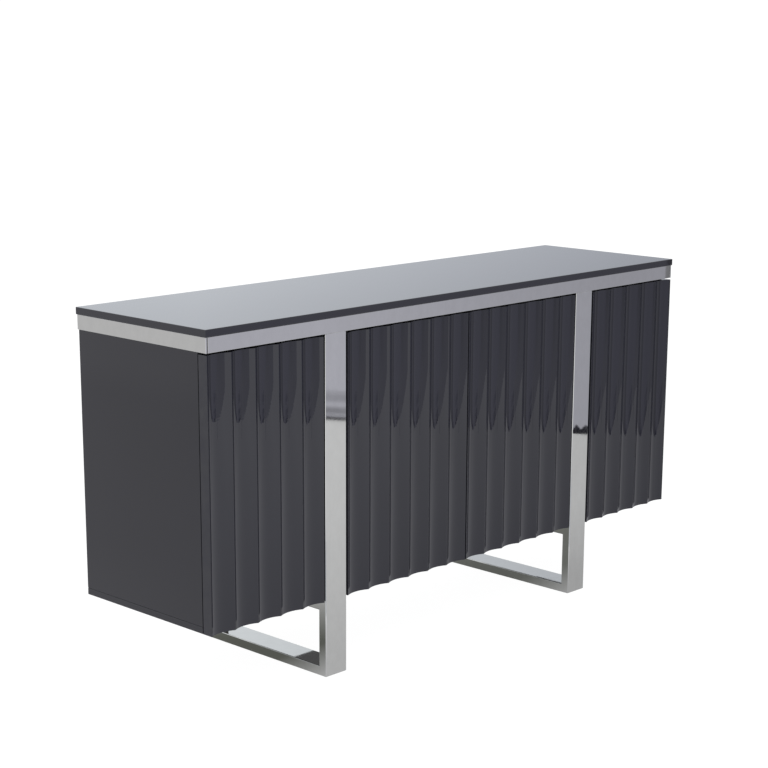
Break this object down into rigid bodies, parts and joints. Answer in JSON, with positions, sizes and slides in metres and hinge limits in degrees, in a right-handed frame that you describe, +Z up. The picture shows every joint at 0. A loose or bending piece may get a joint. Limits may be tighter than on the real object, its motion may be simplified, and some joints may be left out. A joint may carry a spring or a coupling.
{
  "type": "sideboard buffet",
  "caption": "Long low sideboard: fluted push-to-open doors on concealed hinges, shelves, slab top over a polished band, and polished flat-tube leg frames.",
  "frame": {"origin": "on the floor, under the middle of the top", "axes": "+X along the length to the right as seen from the front, -Y out of the doors, +Z up"},
  "size_m": [1.5, 0.4, 0.772],
  "materials": {
    "top_lacquer": "dark charcoal high-gloss lacquer on board",
    "charcoal_lacquer": "charcoal high-gloss lacquer on board",
    "door_lacquer": "charcoal high-gloss lacquer on fluted board",
    "polished_trim": "polished stainless strip",
    "polished_legs": "polished stainless flat tube",
    "carcass_board": "grey melamine-faced board",
    "back_board": "grey faced thin board",
    "hinge_steel": "nickel-plated pressed steel",
    "strike_steel": "zinc-plated steel",
    "latch_plastic": "moulded grey plastic",
    "plunger_plastic": "moulded light grey plastic"
  },
  "bodies": {
    "cabinet": {"top_panel": "top_lacquer", "top_core": "carcass_board", "trim_front": "polished_trim", "trim_rear": "polished_trim", "trim_left": "polished_trim", "trim_right": "polished_trim", "carcass_top": "carcass_board", "side_panel_left": "charcoal_lacquer", "side_panel_right": "charcoal_lacquer", "bottom_panel": "charcoal_lacquer", "back_panel": "back_board", "divider_left_outer": "carcass_board", "divider_left_inner": "carcass_board", "divider_right_inner": "carcass_board", "divider_right_outer": "carcass_board", "shelf_left": "carcass_board", "shelf_centre": "carcass_board", "shelf_right": "carcass_board", "leg_left_upright": "polished_legs", "leg_left_rear_post": "polished_legs", "leg_left_floor_rail": "polished_legs", "leg_left_upper_rail": "polished_legs", "leg_right_upright": "polished_legs", "leg_right_rear_post": "polished_legs", "leg_right_floor_rail": "polished_legs", "leg_right_upper_rail": "polished_legs", "hinge_arm_1_upper": "hinge_steel", "hinge_arm_1_lower": "hinge_steel", "latch_body_1": "latch_plastic", "hinge_arm_2_upper": "hinge_steel", "hinge_arm_2_lower": "hinge_steel", "latch_body_2": "latch_plastic", "hinge_arm_3_upper": "hinge_steel", "hinge_arm_3_lower": "hinge_steel", "latch_body_3": "latch_plastic", "hinge_arm_4_upper": "hinge_steel", "hinge_arm_4_lower": "hinge_steel", "latch_body_4": "latch_plastic"},
    "door_1": {"door_1": "door_lacquer", "hinge_cup_1_upper": "hinge_steel", "hinge_cup_1_lower": "hinge_steel", "strike_plate_1": "strike_steel"},
    "plunger_1": {"latch_plunger_1": "plunger_plastic"},
    "door_2": {"door_2": "door_lacquer", "hinge_cup_2_upper": "hinge_steel", "hinge_cup_2_lower": "hinge_steel", "strike_plate_2": "strike_steel"},
    "plunger_2": {"latch_plunger_2": "plunger_plastic"},
    "door_3": {"door_3": "door_lacquer", "hinge_cup_3_upper": "hinge_steel", "hinge_cup_3_lower": "hinge_steel", "strike_plate_3": "strike_steel"},
    "plunger_3": {"latch_plunger_3": "plunger_plastic"},
    "door_4": {"door_4": "door_lacquer", "hinge_cup_4_upper": "hinge_steel", "hinge_cup_4_lower": "hinge_steel", "strike_plate_4": "strike_steel"},
    "plunger_4": {"latch_plunger_4": "plunger_plastic"}
  },
  "joints": [
    {"name": "door_1_hinge", "type": "hinge", "parent": "cabinet", "child": "door_1", "pos_m": [-0.7465, -0.1995, 0.4435], "axis": [0, 0, -1], "range_deg": [0, 105]},
    {"name": "plunger_1_slide", "type": "slide", "parent": "cabinet", "child": "plunger_1", "axis": [0, -1, 0], "range_m": [0, 0.0125]},
    {"name": "door_2_hinge", "type": "hinge", "parent": "cabinet", "child": "door_2", "pos_m": [-0.371, -0.1995, 0.4435], "axis": [0, 0, -1], "range_deg": [0, 105]},
    {"name": "plunger_2_slide", "type": "slide", "parent": "cabinet", "child": "plunger_2", "axis": [0, -1, 0], "range_m": [0, 0.0125]},
    {"name": "door_3_hinge", "type": "hinge", "parent": "cabinet", "child": "door_3", "pos_m": [0.371, -0.1995, 0.4435], "axis": [0, 0, 1], "range_deg": [0, 105]},
    {"name": "plunger_3_slide", "type": "slide", "parent": "cabinet", "child": "plunger_3", "axis": [0, -1, 0], "range_m": [0, 0.0125]},
    {"name": "door_4_hinge", "type": "hinge", "parent": "cabinet", "child": "door_4", "pos_m": [0.7465, -0.1995, 0.4435], "axis": [0, 0, 1], "range_deg": [0, 105]},
    {"name": "plunger_4_slide", "type": "slide", "parent": "cabinet", "child": "plunger_4", "axis": [0, -1, 0], "range_m": [0, 0.0125]}
  ],
  "couplings": [
    {"joint": "plunger_1_slide", "follows": "door_1_hinge", "m_per_rad": 0.0065},
    {"joint": "plunger_2_slide", "follows": "door_2_hinge", "m_per_rad": 0.0065},
    {"joint": "plunger_3_slide", "follows": "door_3_hinge", "m_per_rad": 0.0065},
    {"joint": "plunger_4_slide", "follows": "door_4_hinge", "m_per_rad": 0.0065}
  ]
}
